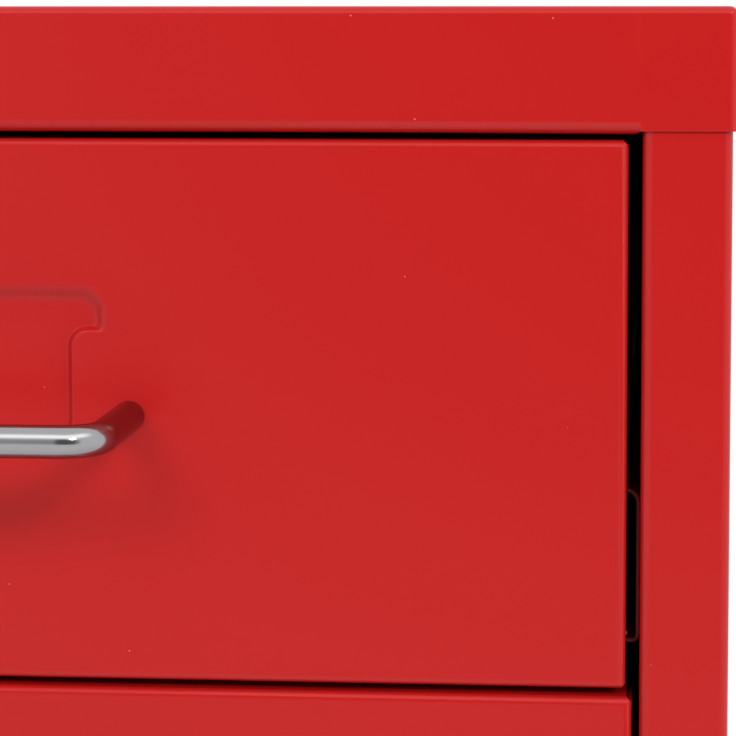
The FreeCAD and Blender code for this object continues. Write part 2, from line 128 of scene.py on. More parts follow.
red_powder, shader, place = finish("red_powder", "powder_coat")
cloud = place.noise(cloud_scale)
grain = place.node("ShaderNodeTexVoronoi", {"feature": "F1"}, {"Vector": place, "Scale": dust_scale})
speck = (grain < dust_size) * dust_share
red = cloud.tint(cloud, paint_red, paint_deep)
red = red.node("ShaderNodeMix", {"data_type": "RGBA"}, {0: speck, 6: red, 7: dust_pale}, output=2)
peel = place.noise(peel_scale, 1.0)
relief = {"Height": peel, "Distance": peel_height, "Strength": peel_strength}
bump = peel.node("ShaderNodeBump", {}, relief)
feed(shader, base_color=red, roughness=cloud * paint_rough_play + paint_rough, normal=bump)
shader.inputs["Specular IOR Level"].default_value = paint_gloss


def block(low, high):
    """A box between two corners."""
    bm = bmesh.new()
    bmesh.ops.create_cube(bm, size=1.0)
    size = Vector(high) - Vector(low)
    bmesh.ops.scale(bm, verts=bm.verts, vec=size)
    bmesh.ops.translate(bm, verts=bm.verts, vec=Vector(low) + size / 2)
    return bm


tiny, slack = 1e-6, 1e-5
cut_edge, cut_angle = 0.00015, math.radians(50)


def on(parts, x=None, y=None, z=None):
    """Those edges or faces whose corners all lie at a place along one or more axes."""
    wants = [(axis, want) for axis, want in enumerate((x, y, z)) if want is not None]
    found = []
    for part in parts:
        if all(abs(vert.co[axis] - want) < tiny for vert in part.verts for axis, want in wants):
            found.append(part)
    return found


def bend(bm, edges, radius, steps=6):
    """Turns sharp folds into bends."""
    bmesh.ops.bevel(
        bm, geom=edges, offset=radius, offset_type="OFFSET", segments=steps,
        profile=0.5, affect="EDGES", material=-1,
    )


def slit(bm, faces, point, normal):
    """Cuts some faces along a plane, with nothing taken away."""
    geom = list({part for face in faces for part in (face, *face.edges, *face.verts)})
    bmesh.ops.bisect_plane(bm, geom=geom, plane_co=point, plane_no=normal)


def thicken(bm, sheet, known=None, outwards=(0, 0, 1)):
    """Gives an outer skin the thickness of its sheet. A known face tells which way is outwards."""
    bmesh.ops.recalc_face_normals(bm, faces=bm.faces)
    if known and known.normal.dot(Vector(outwards)) < 0:
        bmesh.ops.reverse_faces(bm, faces=bm.faces)
    bmesh.ops.solidify(bm, geom=bm.faces, thickness=sheet)


def settle(bm, name, body, material, replaced, edge=cut_edge):
    """Makes the finished piece, softens its cut edges and sets it on its body."""
    bmesh.ops.recalc_face_normals(bm, faces=bm.faces)
    for face in bm.faces:
        face.smooth = True
    mesh = bpy.data.meshes.new(name)
    bm.to_mesh(mesh)
    bm.free()
    piece = bpy.data.objects.new(name, mesh)
    bpy.context.scene.collection.objects.link(piece)
    mesh.materials.append(material)
    if edge:
        cut = piece.modifiers.new("cut_edges", "BEVEL")
        cut.width = edge
        cut.segments = 2
        cut.limit_method = "ANGLE"
        cut.angle_limit = cut_angle
    piece.modifiers.new("flat_faces", "WEIGHTED_NORMAL").keep_sharp = False
    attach(piece, body)
    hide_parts(*replaced)


lid_low, lid_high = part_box("top_cover")
lid_play = Vector((0.0002, 0.0002, 0))
lid_low, lid_high = lid_low - lid_play, lid_high + lid_play
stile_low, stile_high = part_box("side_panel_right")
panel_low, panel_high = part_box("back_panel")
lid_sheet = 0.0005
lid_bend = 0.0015
lid_lip_bend = 0.0024
lid_lip_depth = 0.0120
lid_lip_bow = 0.0002
lid_lip_rise = 0.00055
lid_run_out = 0.0012
lid_run_out_steps = 4
lid_roll_steps = 10
lip_cuts = 15
skirt_foot = lid_low.z + lid_lip_rise
lip_half = panel_high.x

bm = block((lid_low.x, lid_low.y, skirt_foot), lid_high)
bmesh.ops.delete(bm, geom=on(bm.faces, z=skirt_foot), context="FACES")
bend(bm, [edge for edge in bm.edges if len(edge.link_faces) == 2], lid_bend)
roll_top = lid_low.z + lid_lip_bend


def lip_rim(bm):
    """The edges of the skirt from which the lip is rolled."""
    edges = on(bm.edges, y=lid_low.y, z=roll_top)
    return [edge for edge in edges if max(abs(vert.co.x) for vert in edge.verts) < lip_half + slack]


for side in (-1, 1):
    for run_out in range(lid_run_out_steps + 1):
        x = side * (lip_half - lid_run_out * run_out / lid_run_out_steps)
        slit(bm, on(bm.faces, y=lid_low.y), (x, 0, 0), (1, 0, 0))
slit(bm, on(bm.faces, y=lid_low.y), (0, 0, roll_top), (0, 0, 1))
roll = []
for face in on(bm.faces, y=lid_low.y):
    middle = face.calc_center_median()
    if abs(middle.x) < lip_half and middle.z < roll_top:
        roll.append(face)
bmesh.ops.delete(bm, geom=roll, context="FACES")
ends = on(bm.edges, x=lip_half, y=lid_low.y) + on(bm.edges, x=-lip_half, y=lid_low.y)
ends = [edge for edge in ends if max(vert.co.z for vert in edge.verts) < roll_top + tiny]
bmesh.ops.subdivide_edges(bm, edges=ends, cuts=lid_roll_steps - 1)
longest = max(lip_rim(bm), key=lambda edge: edge.calc_length())
bmesh.ops.subdivide_edges(bm, edges=[longest], cuts=lip_cuts)
rolled = bmesh.ops.spin(
    bm, geom=lip_rim(bm), cent=(0, lid_low.y + lid_lip_bend, roll_top), axis=(1, 0, 0), angle=math.pi / 2,
    steps=lid_roll_steps,
)["geom_last"]
rolled = [part for part in rolled if isinstance(part, bmesh.types.BMEdge)]
held_half = lip_half - lid_run_out + slack
held = [edge for edge in rolled if max(abs(vert.co.x) for vert in edge.verts) < held_half]
lip = bmesh.ops.extrude_edge_only(bm, edges=held)["geom"]
ends = [part for part in lip if isinstance(part, bmesh.types.BMVert)]
bmesh.ops.translate(bm, verts=ends, vec=(0, lid_lip_depth - lid_lip_bend + lid_sheet, 0))
for vert in bm.verts:
    inside = -tiny < vert.co.y - lid_low.y < lid_lip_depth + lid_sheet + tiny
    if inside and abs(vert.co.x) < lip_half + tiny and vert.co.z < roll_top - tiny:
        drop = (roll_top - vert.co.z) / lid_lip_bend
        vert.co.z += lid_lip_bow * drop * (1 - (vert.co.x / lip_half) ** 4)
        left = min(1.0, (lip_half - abs(vert.co.x)) / lid_run_out)
        if left < 1 - tiny and vert.co.y > lid_low.y + tiny:
            curl = left * left * (3 - 2 * left)
            cosine = min(1.0, max(0.0, 1 - (vert.co.y - lid_low.y) / lid_lip_bend))
            turned = 1 - math.acos(cosine) / (math.pi / 2)
            flat = Vector((vert.co.x, lid_low.y, skirt_foot + (roll_top - skirt_foot) * turned))
            vert.co = flat.lerp(vert.co, curl)
bmesh.ops.remove_doubles(bm, verts=bm.verts, dist=2 * tiny)
thicken(bm, lid_sheet)
settle(bm, "lid", "casing", red_powder, ["top_cover"])


# Side panels
# Each is one powder-coated steel sheet folded into a flat tube: the outer wall, a stile at the
# front and back, and a lip along each stile, slotted for the hooks of the runners.

wall_sheet = 0.0006
wall_bend = 0.0018
lip_depth = 0.026
slot_half = 0.0010
slot_tall = 0.0115
slot_rise = 0.0090
runner_rows = [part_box(f"runner_right_{number}") for number in range(1, 7)]
hook_setback = 0.0050


def folded(corners, start, end, bends):
    """The outer skin of a bent sheet: a line of corners drawn out along an axis."""
    bm = bmesh.new()
    line = [bm.verts.new(Vector(corner) + Vector(start)) for corner in corners]
    for one, other in zip(line, line[1:]):
        bm.edges.new((one, other))
    drawn = bmesh.ops.extrude_edge_only(bm, edges=bm.edges[:])["geom"]
    moved = [part for part in drawn if isinstance(part, bmesh.types.BMVert)]
    bmesh.ops.translate(bm, verts=moved, vec=Vector(end) - Vector(start))
    folds = [edge for edge in bm.edges if len(edge.link_faces) == 2]
    for radius in sorted(set(bends)):
        chosen = []
        for corner, wanted in zip(corners[1:-1], bends):
            at = Vector(corner) + Vector(start)
            way = (Vector(end) - Vector(start)).normalized()
            for edge in folds:
                if wanted == radius and edge.is_valid:
                    off = edge.verts[0].co - at
                    if (off - way * off.dot(way)).length < tiny:
                        chosen.append(edge)
        bend(bm, chosen, radius)
    return bm


def flip(bm, side):
    """Mirrors a right-hand piece to the left where side is -1."""
    bmesh.ops.scale(bm, verts=bm.verts, vec=(side, 1, 1))


for side, name in ((1, "right"), (-1, "left")):
    inner, outer = stile_low.x, stile_high.x
    front, back = stile_low.y, stile_high.y
    corners = [
        (inner, front + lip_depth, 0), (inner, front, 0), (outer, front, 0),
        (outer, back, 0), (inner, back, 0), (inner, back - lip_depth, 0),
    ]
    bm = folded(corners, (0, 0, stile_low.z), (0, 0, stile_high.z), [wall_bend] * 4)
    hooks = [runner_rows[0][0].y + hook_setback, runner_rows[0][1].y - hook_setback]
    for hook in hooks:
        for y in (hook - slot_half, hook + slot_half):
            slit(bm, on(bm.faces, x=inner), (0, y, 0), (0, 1, 0))
    for low, high in runner_rows:
        for z in (low.z + slot_rise, low.z + slot_rise + slot_tall):
            slit(bm, on(bm.faces, x=inner), (0, 0, z), (0, 0, 1))
    holes = []
    for face in on(bm.faces, x=inner):
        middle = face.calc_center_median()
        if any(abs(middle.y - hook) < slot_half for hook in hooks):
            if any(0 < middle.z - low.z - slot_rise < slot_tall for low, high in runner_rows):
                holes.append(face)
    bmesh.ops.delete(bm, geom=holes, context="FACES")
    thicken(bm, wall_sheet, on(bm.faces, x=outer)[0], (1, 0, 0))
    flip(bm, side)
    settle(bm, f"{name}_side", "casing", red_powder, [f"side_panel_{name}"])


# Back panel
# A plain sheet of powder-coated steel with a flange along each side. It stands between the rear
# stiles of the side panels and tabs into them.

half, flange = panel_high.x, 0.012
corners = [
    (-half, panel_high.y - flange, 0), (-half, panel_high.y, 0),
    (half, panel_high.y, 0), (half, panel_high.y - flange, 0),
]
bm = folded(corners, (0, 0, panel_low.z), (0, 0, panel_high.z), [wall_bend] * 2)
thicken(bm, wall_sheet, on(bm.faces, y=panel_high.y)[0], (0, 1, 0))
settle(bm, "rear_panel", "casing", red_powder, ["back_panel"])


# Drawer fronts
# A shallow pan of powder-coated sheet steel with notched corners. The recess for a label is
# pressed into its face, with soft slopes above and beside it and a sharp ledge below.

front_sheet = 0.0006
front_bend = 0.0015
corner_clip = 0.0009
recess_steps = 9
recess_depth = 0.0017
recess_wide, wide_run = 0.0296, 0.0027
recess_narrow, narrow_run = 0.02365, 0.0016
recess_top, top_run = 0.0257, 0.0036
recess_ledge, ledge_run, ledge_curve = 0.0344, 0.0011, 0.8
recess_foot, foot_run = 0.0533, 0.0013
top_corner, top_corner_run = 0.0051, 0.0025
step_corner, step_corner_run = 0.0012, 0.0006
step_fillet, foot_corner = 0.0025, 0.0032


def recess_ring(bm, share, at, y):
    """One outline of the recess, from its mouth at share 0 to its floor at share 1."""
    wide = recess_wide - wide_run * share
    narrow = recess_narrow - narrow_run * share
    top = recess_top + top_run * share
    ledge = recess_ledge - ledge_run * share ** ledge_curve
    half = [
        (narrow, recess_foot - foot_run * share, foot_corner - foot_run * share),
        (narrow, ledge, step_fillet + foot_run * share),
        (wide, ledge, step_corner - step_corner_run * share),
        (wide, top, top_corner - top_corner_run * share),
    ]
    corners = half + [(-x, down, radius) for x, down, radius in reversed(half)]
    verts = [bm.verts.new((at.x + x, y, at.z - down)) for x, down, radius in corners]
    face = bm.faces.new(verts)
    for vert, (x, down, radius) in zip(verts, corners):
        bmesh.ops.bevel(
            bm, geom=[vert], offset=radius, offset_type="OFFSET", segments=6,
            profile=0.5, affect="VERTICES", material=-1,
        )
    return on(bm.faces, y=y)


for number in range(1, 7):
    low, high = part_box(f"drawer_front_{number}")
    bm = block(low, high)
    bmesh.ops.delete(bm, geom=on(bm.faces, y=high.y), context="FACES")
    bend(bm, on(bm.edges, y=low.y), front_bend)
    for across, x in ((-1, low.x), (1, high.x)):
        for rise, z in ((-1, low.z), (1, high.z)):
            out = Vector((across, 0, rise))
            point = Vector((x, 0, z)) - out * (corner_clip / 2)
            geom = bm.verts[:] + bm.edges[:] + bm.faces[:]
            bmesh.ops.bisect_plane(bm, geom=geom, plane_co=point, plane_no=out, clear_outer=True)
    bmesh.ops.delete(bm, geom=on(bm.faces, y=low.y), context="FACES_ONLY")
    rim = on(bm.edges, y=low.y)
    at = Vector(((low.x + high.x) / 2, low.y, high.z))
    rings = []
    for step in range(recess_steps + 1):
        share = step / recess_steps
        depth = recess_depth * (1 - math.cos(math.pi * share)) / 2
        face = recess_ring(bm, share, at, low.y + depth + tiny * (step + 1) / 10)[0]
        rings.append(list(face.edges))
        if step < recess_steps:
            bmesh.ops.delete(bm, geom=[face], context="FACES_ONLY")
    for ring, deeper in zip(rings, rings[1:]):
        bmesh.ops.bridge_loops(bm, edges=ring + deeper)
    bmesh.ops.triangle_fill(bm, use_beauty=True, use_dissolve=False, edges=rim + rings[0])
    bmesh.ops.recalc_face_normals(bm, faces=bm.faces)
    facing = [face for face in bm.faces if abs(face.normal.y) > 0.9]
    widest = max(facing, key=lambda face: face.calc_area())
    thicken(bm, front_sheet, widest, (0, -1, 0))
    settle(bm, f"drawer_{number}_face", f"drawer_{number}", red_powder, [f"drawer_front_{number}"])


# Handles
# One chrome-plated steel wire, bent twice. Its feet are tapped and stand on the front's face,
# where a screw from inside holds each.

plate_grey = (0.38, 0.375, 0.385, 1.0)
plate_rim = (0.70, 0.70, 0.74, 1.0)
plate_haze, plate_rough, plate_rough_play = 70.0, 0.12, 0.06
bright_chrome, shader, place = finish("bright_chrome", "chrome")
sheen = place.noise(plate_haze, 3.0) * plate_rough_play + plate_rough
feed(shader, base_color=plate_grey, specular_tint=plate_rim, metallic=1.0, roughness=sheen)

wire_radius = 0.00284
wire_bend = 0.0065
wire_sides, wire_bend_steps = 40, 14
foot_reach = 0.0335
bar_reach = 0.0320
wire_sag = 0.00025
wire_edge = 0.0002


def loose(parts):
    """Edges at the open end of what was just drawn."""
    return [part for part in parts if isinstance(part, bmesh.types.BMEdge) and len(part.link_faces) == 1]


def draw(bm, edges, along):
    """Draws open edges out in a straight line."""
    drawn = bmesh.ops.extrude_edge_only(bm, edges=edges)["geom"]
    moved = [part for part in drawn if isinstance(part, bmesh.types.BMVert)]
    bmesh.ops.translate(bm, verts=moved, vec=along)
    return loose(drawn)


def turn(bm, edges, pivot):
    """Draws open edges through a quarter turn."""
    geom = edges + list({vert for edge in edges for vert in edge.verts})
    spun = bmesh.ops.spin(
        bm, geom=geom, cent=pivot, axis=(0, 0, 1), angle=-math.pi / 2, steps=wire_bend_steps,
    )
    return [part for part in spun["geom_last"] if isinstance(part, bmesh.types.BMEdge)]


for number in range(1, 7):
    low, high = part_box(f"handle_{number}")
    centre = (low + high) / 2 - Vector((0, 0, wire_sag))
    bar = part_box(f"drawer_front_{number}")[0].y - bar_reach
    bm = bmesh.new()
    ring = bmesh.ops.create_circle(bm, cap_ends=False, radius=wire_radius, segments=wire_sides)["verts"]
    bmesh.ops.transform(bm, matrix=Matrix.Rotation(math.pi / 2, 4, "X"), verts=ring)
    bmesh.ops.translate(bm, verts=ring, vec=(centre.x + foot_reach, high.y, centre.z))
    edges = bm.edges[:]
    bmesh.ops.contextual_create(bm, geom=edges)
    edges = draw(bm, edges, (0, bar + wire_bend - high.y, 0))
    edges = turn(bm, edges, (centre.x + foot_reach - wire_bend, bar + wire_bend, centre.z))
    edges = draw(bm, edges, (2 * (wire_bend - foot_reach), 0, 0))
    edges = turn(bm, edges, (centre.x - foot_reach + wire_bend, bar + wire_bend, centre.z))
    edges = draw(bm, edges, (0, high.y - bar - wire_bend, 0))
    bmesh.ops.contextual_create(bm, geom=edges)
    drawer = f"drawer_{number}"
    settle(bm, f"{drawer}_handle", drawer, bright_chrome, [f"handle_{number}"], wire_edge)


# Handle screws
# Zinc-plated steel screws with pan heads, two to a handle. Each goes through the front from
# inside the drawer and into a foot of the wire.

zinc_dull, zinc_pale = (0.50, 0.51, 0.52), (0.60, 0.61, 0.61, 1.0)
zinc_rough, zinc_rough_play, spangle_scale = 0.26, 0.16, 45.0
rub_stretch, rub_height, rub_strength = (60.0, 60.0, 400.0), 0.00001, 0.4
zinc_plate, shader, place = finish("zinc_plate", "zinc_steel")
stretched = place.node("ShaderNodeMapping", {}, {"Vector": place, "Scale": rub_stretch})
rub = stretched.noise(1.0, 4.0)
spangle = place.noise(spangle_scale, 3.0)
zinc = spangle.tint(spangle, zinc_dull, zinc_pale)
bump = rub.node("ShaderNodeBump", {}, {"Height": rub, "Distance": rub_height, "Strength": rub_strength})
feed(shader, base_color=zinc, metallic=1.0, roughness=spangle * zinc_rough_play + zinc_rough, normal=bump)

screw_head = 0.0032
screw_head_height = 0.0020
screw_shank = 0.0015
screw_bevel = 0.0003
screw_sides = 24
head_edge, head_dome = 0.0002, 0.0011
drive_radius, drive_foot, drive_depth = 0.0011, 0.0008, 0.0010


def lathe(outline, axis, centre, steps=40):
    """A turned piece. The outline holds a run along the axis, a radius and a rounding per corner."""
    bm = bmesh.new()
    verts = [bm.verts.new((radius, 0, run)) for run, radius, rounding in outline]
    bm.faces.new(verts)
    for vert, (run, radius, rounding) in zip(verts, outline):
        if rounding:
            bmesh.ops.bevel(
                bm, geom=[vert], offset=rounding, offset_type="OFFSET", segments=4,
                profile=0.5, affect="VERTICES", material=-1,
            )
    bmesh.ops.delete(bm, geom=bm.faces[:], context="FACES_ONLY")
    bmesh.ops.delete(bm, geom=on(bm.edges, x=0.0), context="EDGES")
    geom = bm.verts[:] + bm.edges[:]
    bmesh.ops.spin(
        bm, geom=geom, cent=(0, 0, 0), axis=(0, 0, 1), angle=2 * math.pi, steps=steps, use_merge=True,
    )
    bmesh.ops.remove_doubles(bm, verts=bm.verts, dist=tiny / 10)
    bmesh.ops.recalc_face_normals(bm, faces=bm.faces)
    quarter = math.pi / 2
    turns = {"x": Matrix.Rotation(quarter, 4, "Y"), "y": Matrix.Rotation(-quarter, 4, "X"), "z": Matrix()}
    bmesh.ops.transform(bm, matrix=Matrix.Translation(centre) @ turns[axis], verts=bm.verts)
    return bm


def both_ways(side):
    """An outline that is the same on both sides of its middle."""
    return side + [(-run, radius, rounding) for run, radius, rounding in reversed(side)]


def gather(pieces):
    """One mesh of the closed parts that make up a piece."""
    whole = bmesh.new()
    for part in pieces:
        shape = bpy.data.meshes.new("part")
        part.to_mesh(shape)
        part.free()
        whole.from_mesh(shape)
        bpy.data.meshes.remove(shape)
    return whole


for number in range(1, 7):
    low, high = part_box(f"handle_screws_{number}")
    screws = []
    for x in (low.x + screw_head, high.x - screw_head):
        seat = high.y - screw_head_height
        point, drive_end = low.y - seat, screw_head_height - drive_depth
        outline = [
            (point, 0.0, 0), (point, screw_shank, screw_bevel), (0.0, screw_shank, 0),
            (0.0, screw_head, head_edge), (screw_head_height, screw_head, head_dome),
            (screw_head_height, drive_radius, 0), (drive_end, drive_foot, 0), (drive_end, 0.0, 0),
        ]
        screws.append(lathe(outline, "y", (x, seat, (low.z + high.z) / 2), screw_sides))
    drawer = f"drawer_{number}"
    settle(gather(screws), f"{drawer}_screws", drawer, zinc_plate, [f"handle_screws_{number}"], edge=0)


# Drawer trays
# One folded sheet of powder-coated steel makes the floor, sides and back. It is open at the top,
# with a rim along each side and tabs that are spot-welded behind the front.

tray_wall = 0.1110
tray_sheet = 0.0005
tray_bend = 0.0015
tray_rim = 0.0050
tray_rim_bend = 0.0010
tray_lip = 0.0090
rim_start = 0.0110
tab_foot = 0.0030

for number in range(1, 7):
    low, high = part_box(f"drawer_tray_{number}")
    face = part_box(f"drawer_front_{number}")[0]
    middle = (low.x + high.x) / 2
    top = high.z - tray_sheet
    bm = block((-tray_wall, low.y, low.z), (tray_wall, high.y, top))
    bmesh.ops.delete(bm, geom=on(bm.faces, z=top), context="FACES")
    bend(bm, [edge for edge in on(bm.edges, z=low.z) if len(edge.link_faces) == 2], tray_bend)
    slit(bm, on(bm.faces, y=low.y), (0, 0, low.z + tray_lip), (0, 0, 1))
    mouth = [part for part in on(bm.faces, y=low.y) if part.calc_center_median().z > low.z + tray_lip]
    bmesh.ops.delete(bm, geom=mouth, context="FACES")
    rim_front = face.y + rim_start
    for x in (-tray_wall, tray_wall):
        slit(bm, on(bm.faces, x=x), (0, rim_front, 0), (0, 1, 0))
        rims = on(bm.edges, x=x, z=top)
        rims = [edge for edge in rims if max(vert.co.y for vert in edge.verts) > rim_front + slack]
        draw(bm, rims, (math.copysign(tray_rim, x), 0, 0))
    folds = on(bm.edges, x=-tray_wall, z=top) + on(bm.edges, x=tray_wall, z=top)
    bend(bm, [edge for edge in folds if len(edge.link_faces) == 2], tray_rim_bend)
    thicken(bm, tray_sheet, on(bm.faces, y=high.y)[0], (0, 1, 0))
    tabs = []
    for side in (-1, 1):
        tab_low = (tray_wall - tray_sheet, low.y, face.z + tab_foot)
        tab = block(tab_low, (high.x - middle, low.y + tray_sheet, high.z))
        flip(tab, side)
        tabs.append(tab)
    bm = gather([bm] + tabs)
    bmesh.ops.translate(bm, verts=bm.verts, vec=(middle, 0, 0))
    settle(bm, f"drawer_{number}_tray", f"drawer_{number}", red_powder, [f"drawer_tray_{number}"])


# Drawer slides
# A channel of zinc-plated steel welded to each side of the tray, closed at its back end by a
# plate that meets the runner's stop.

slide_sheet = 0.0008
slide_bend = 0.0015
slide_top = 0.0065
plate_inset = 0.00055
plate_drop = 0.0013

for number in range(1, 7):
    low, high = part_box(f"drawer_slides_{number}")
    middle = (low.x + high.x) / 2
    tip = high.x - middle
    slides = []
    for side in (-1, 1):
        corners = [
            (tip, 0, low.z), (tray_wall, 0, low.z),
            (tray_wall, 0, high.z), (tray_wall + slide_top, 0, high.z),
        ]
        bm = folded(corners, (0, low.y, 0), (0, high.y, 0), [slide_bend] * 2)
        thicken(bm, slide_sheet, on(bm.faces, x=tray_wall)[0], (-1, 0, 0))
        plate_low = (tray_wall + slide_sheet / 2, high.y - slide_sheet, low.z + slide_sheet / 2)
        plate = block(plate_low, (tip - plate_inset, high.y, high.z - plate_drop))
        for part in (bm, plate):
            flip(part, side)
            slides.append(part)
    bm = gather(slides)
    bmesh.ops.translate(bm, verts=bm.verts, vec=(middle, 0, 0))
    settle(bm, f"drawer_{number}_slides", f"drawer_{number}", zinc_plate, [f"drawer_slides_{number}"])


# Runners
# A channel of powder-coated steel on each side for each drawer, with hooks at both ends that hang
# in the side panel's slots, and pressed stops that end the drawer's travel.

runner_sheet = 0.0008
runner_flange = 0.0110
runner_head_bend = 0.0030
runner_foot_bend = 0.0015
hook_foot = 0.0090
hook_tall = 0.0080
hook_drop = 0.0030
hook_reach = 0.0018
in_stop_gap, in_stop_reach, in_stop_half = 0.0004, 0.0098, 0.0090
out_stop_setback = 0.0600
out_stop_near, out_stop_far = 0.00505, 0.00225
out_stop_foot, out_stop_head = 0.0068, 0.0004

for number in range(1, 7):
    for side, name in ((1, "right"), (-1, "left")):
        low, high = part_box(f"runner_right_{number}")
        web, tip = stile_low.x, stile_low.x - runner_flange
        corners = [(tip, 0, low.z), (web, 0, low.z), (web, 0, high.z), (tip, 0, high.z)]
        bm = folded(corners, (0, low.y, 0), (0, high.y, 0), [runner_foot_bend, runner_head_bend])
        thicken(bm, runner_sheet, on(bm.faces, x=web)[0], (1, 0, 0))
        foot = low.z + hook_foot
        behind = high.x - hook_reach
        parts = [bm]
        for y in (low.y + hook_setback - runner_sheet / 2, high.y - hook_setback - runner_sheet / 2):
            parts.append(block((web - runner_sheet, y, foot), (high.x, y + runner_sheet, foot + hook_tall)))
            parts.append(block((behind, y, foot - hook_drop), (high.x, y + runner_sheet, foot)))
        middle = (low.z + high.z) / 2
        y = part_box(f"drawer_slides_{number}")[1].y + in_stop_gap
        stop_low = (web - in_stop_reach, y, middle - in_stop_half)
        parts.append(block(stop_low, (web, y + runner_sheet, middle + in_stop_half)))
        y = stile_low.y + out_stop_setback
        stop_low = (web - out_stop_near, y, high.z - out_stop_foot)
        parts.append(block(stop_low, (web - out_stop_far, y + runner_sheet, high.z - out_stop_head)))
        for part in parts:
            flip(part, side)
        node = f"runner_{name}_{number}"
        settle(gather(parts), f"{node}_steel", "casing", red_powder, [node])


# Base pan
# The floor of the casing, folded from one steel sheet and coated: a rail at the front with a
# return at its top, and flanges that stand inside the other three walls.

base_low, base_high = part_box("base_pan")
rail_return = 0.0120
base_flange = 0.0200
wall_half = base_high.x - wall_sheet
rear = base_high.y - wall_sheet
corners = [
    (0, base_low.y + rail_return, base_high.z), (0, base_low.y, base_high.z), (0, base_low.y, base_low.z),
    (0, rear, base_low.z), (0, rear, base_low.z + base_flange),
]
bm = folded(corners, (-lip_half, 0, 0), (lip_half, 0, 0), [wall_bend] * 3)
for y in (base_low.y + rail_return, base_low.y + lip_depth, rear - lip_depth):
    slit(bm, on(bm.faces, z=base_low.z), (0, y, 0), (0, 1, 0))
for side in (-1, 1):
    for row in on(bm.edges, x=side * lip_half, z=base_low.z):
        start, end = sorted(vert.co.y for vert in row.verts)
        if start > base_low.y + rail_return - slack:
            flanged = start > base_low.y + lip_depth - slack and end < rear - lip_depth + slack
            reach = wall_half if flanged else base_high.x
            out = draw(bm, [row], (side * (reach - lip_half), 0, 0))
            out = [edge for edge in out if on([edge], x=side * reach)]
            if flanged:
                draw(bm, out, (0, 0, base_flange))
                bend(bm, [edge for edge in out if edge.is_valid], wall_bend)
bmesh.ops.remove_doubles(bm, verts=bm.verts, dist=tiny / 10)
thicken(bm, wall_sheet, on(bm.faces, y=base_low.y)[0], (0, -1, 0))
settle(bm, "floor_pan", "casing", red_powder, ["base_pan"])


# Castors
# Each has a pressed and zinc-plated fork with a ball race above it, a riveted axle, a moulded
# wheel, and a stem that is held in the floor by a flange nut.

black_deep, black_worn = (0.014, 0.014, 0.015), (0.026, 0.026, 0.028, 1.0)
black_rough, black_rough_play, wear_scale = 0.42, 0.15, 60.0
texture_scale, texture_height, texture_strength = 1400.0, 0.00001, 0.4
black_moulding, shader, place = finish("black_moulding", "black_plastic")
wear = place.noise(wear_scale, 3.0)
black = wear.tint(wear, black_deep, black_worn)
texture = place.noise(texture_scale, 1.0)
relief = {"Height": texture, "Distance": texture_height, "Strength": texture_strength}
bump = texture.node("ShaderNodeBump", {}, relief)
feed(shader, base_color=black, roughness=wear * black_rough_play + black_rough, normal=bump)

castor_trail = 0.0140
crown, fork_sheet, fork_fold = 0.0475, 0.0015, 0.0022
fork_half, fork_edge = 0.0113, 0.0002
fork_tail, fork_nose, fork_tip = -0.0130, 0.0160, 0.0205
shank_back, shank_foot, shank_throat = 0.0075, 0.0135, 0.0265
crown_round, shank_round, throat_round = 0.0030, 0.0063, 0.0065
shoulder = 0.0390
race_height, race_shoulder, race_bore = 0.0032, 0.00176, 0.0043
race_foot, race_foot_round, race_brim, race_round, race_edge = 0.0130, 0.0008, 0.0150, 0.0009, 0.0003
axle_radius, axle_sides = 0.0030, 32
rivet_radius, rivet_height, rivet_dome, rivet_rim = 0.0045, 0.0015, 0.0009, 0.0002
wheel_radius, wheel_sides, tread_half, tread_round = 0.0200, 72, 0.0065, 0.0018
rim_half, rim_radius, rim_bore, rim_round = 0.0085, 0.0180, 0.0145, 0.0006
web_half, web_rim, web_rim_round, web_hub, web_hub_round = 0.0045, 0.0138, 0.0010, 0.0068, 0.0008
hub_half, hub_radius, hub_round, hub_bore, hub_edge = 0.0095, 0.0062, 0.0004, 0.0033, 0.0003
stem_radius, stem_rise, stem_point = 0.0040, 0.0106, 0.0006
clinch_low, clinch_high, clinch_radius, clinch_round, clinch_edge = 0.0442, 0.0457, 0.0065, 0.0004, 0.0003
collar_height, collar_radius, collar_round, collar_edge = 0.0030, 0.0130, 0.0012, 0.0003
flange_height, flange_radius, flange_round, flange_edge = 0.0016, 0.0095, 0.0006, 0.0003
nut_foot, nut_shoulder, nut_head = 0.0012, 0.0068, 0.0075
nut_radius, nut_chamfer, nut_flats, bore_sides = 0.0075, 0.0068, 6, 40
stems = []

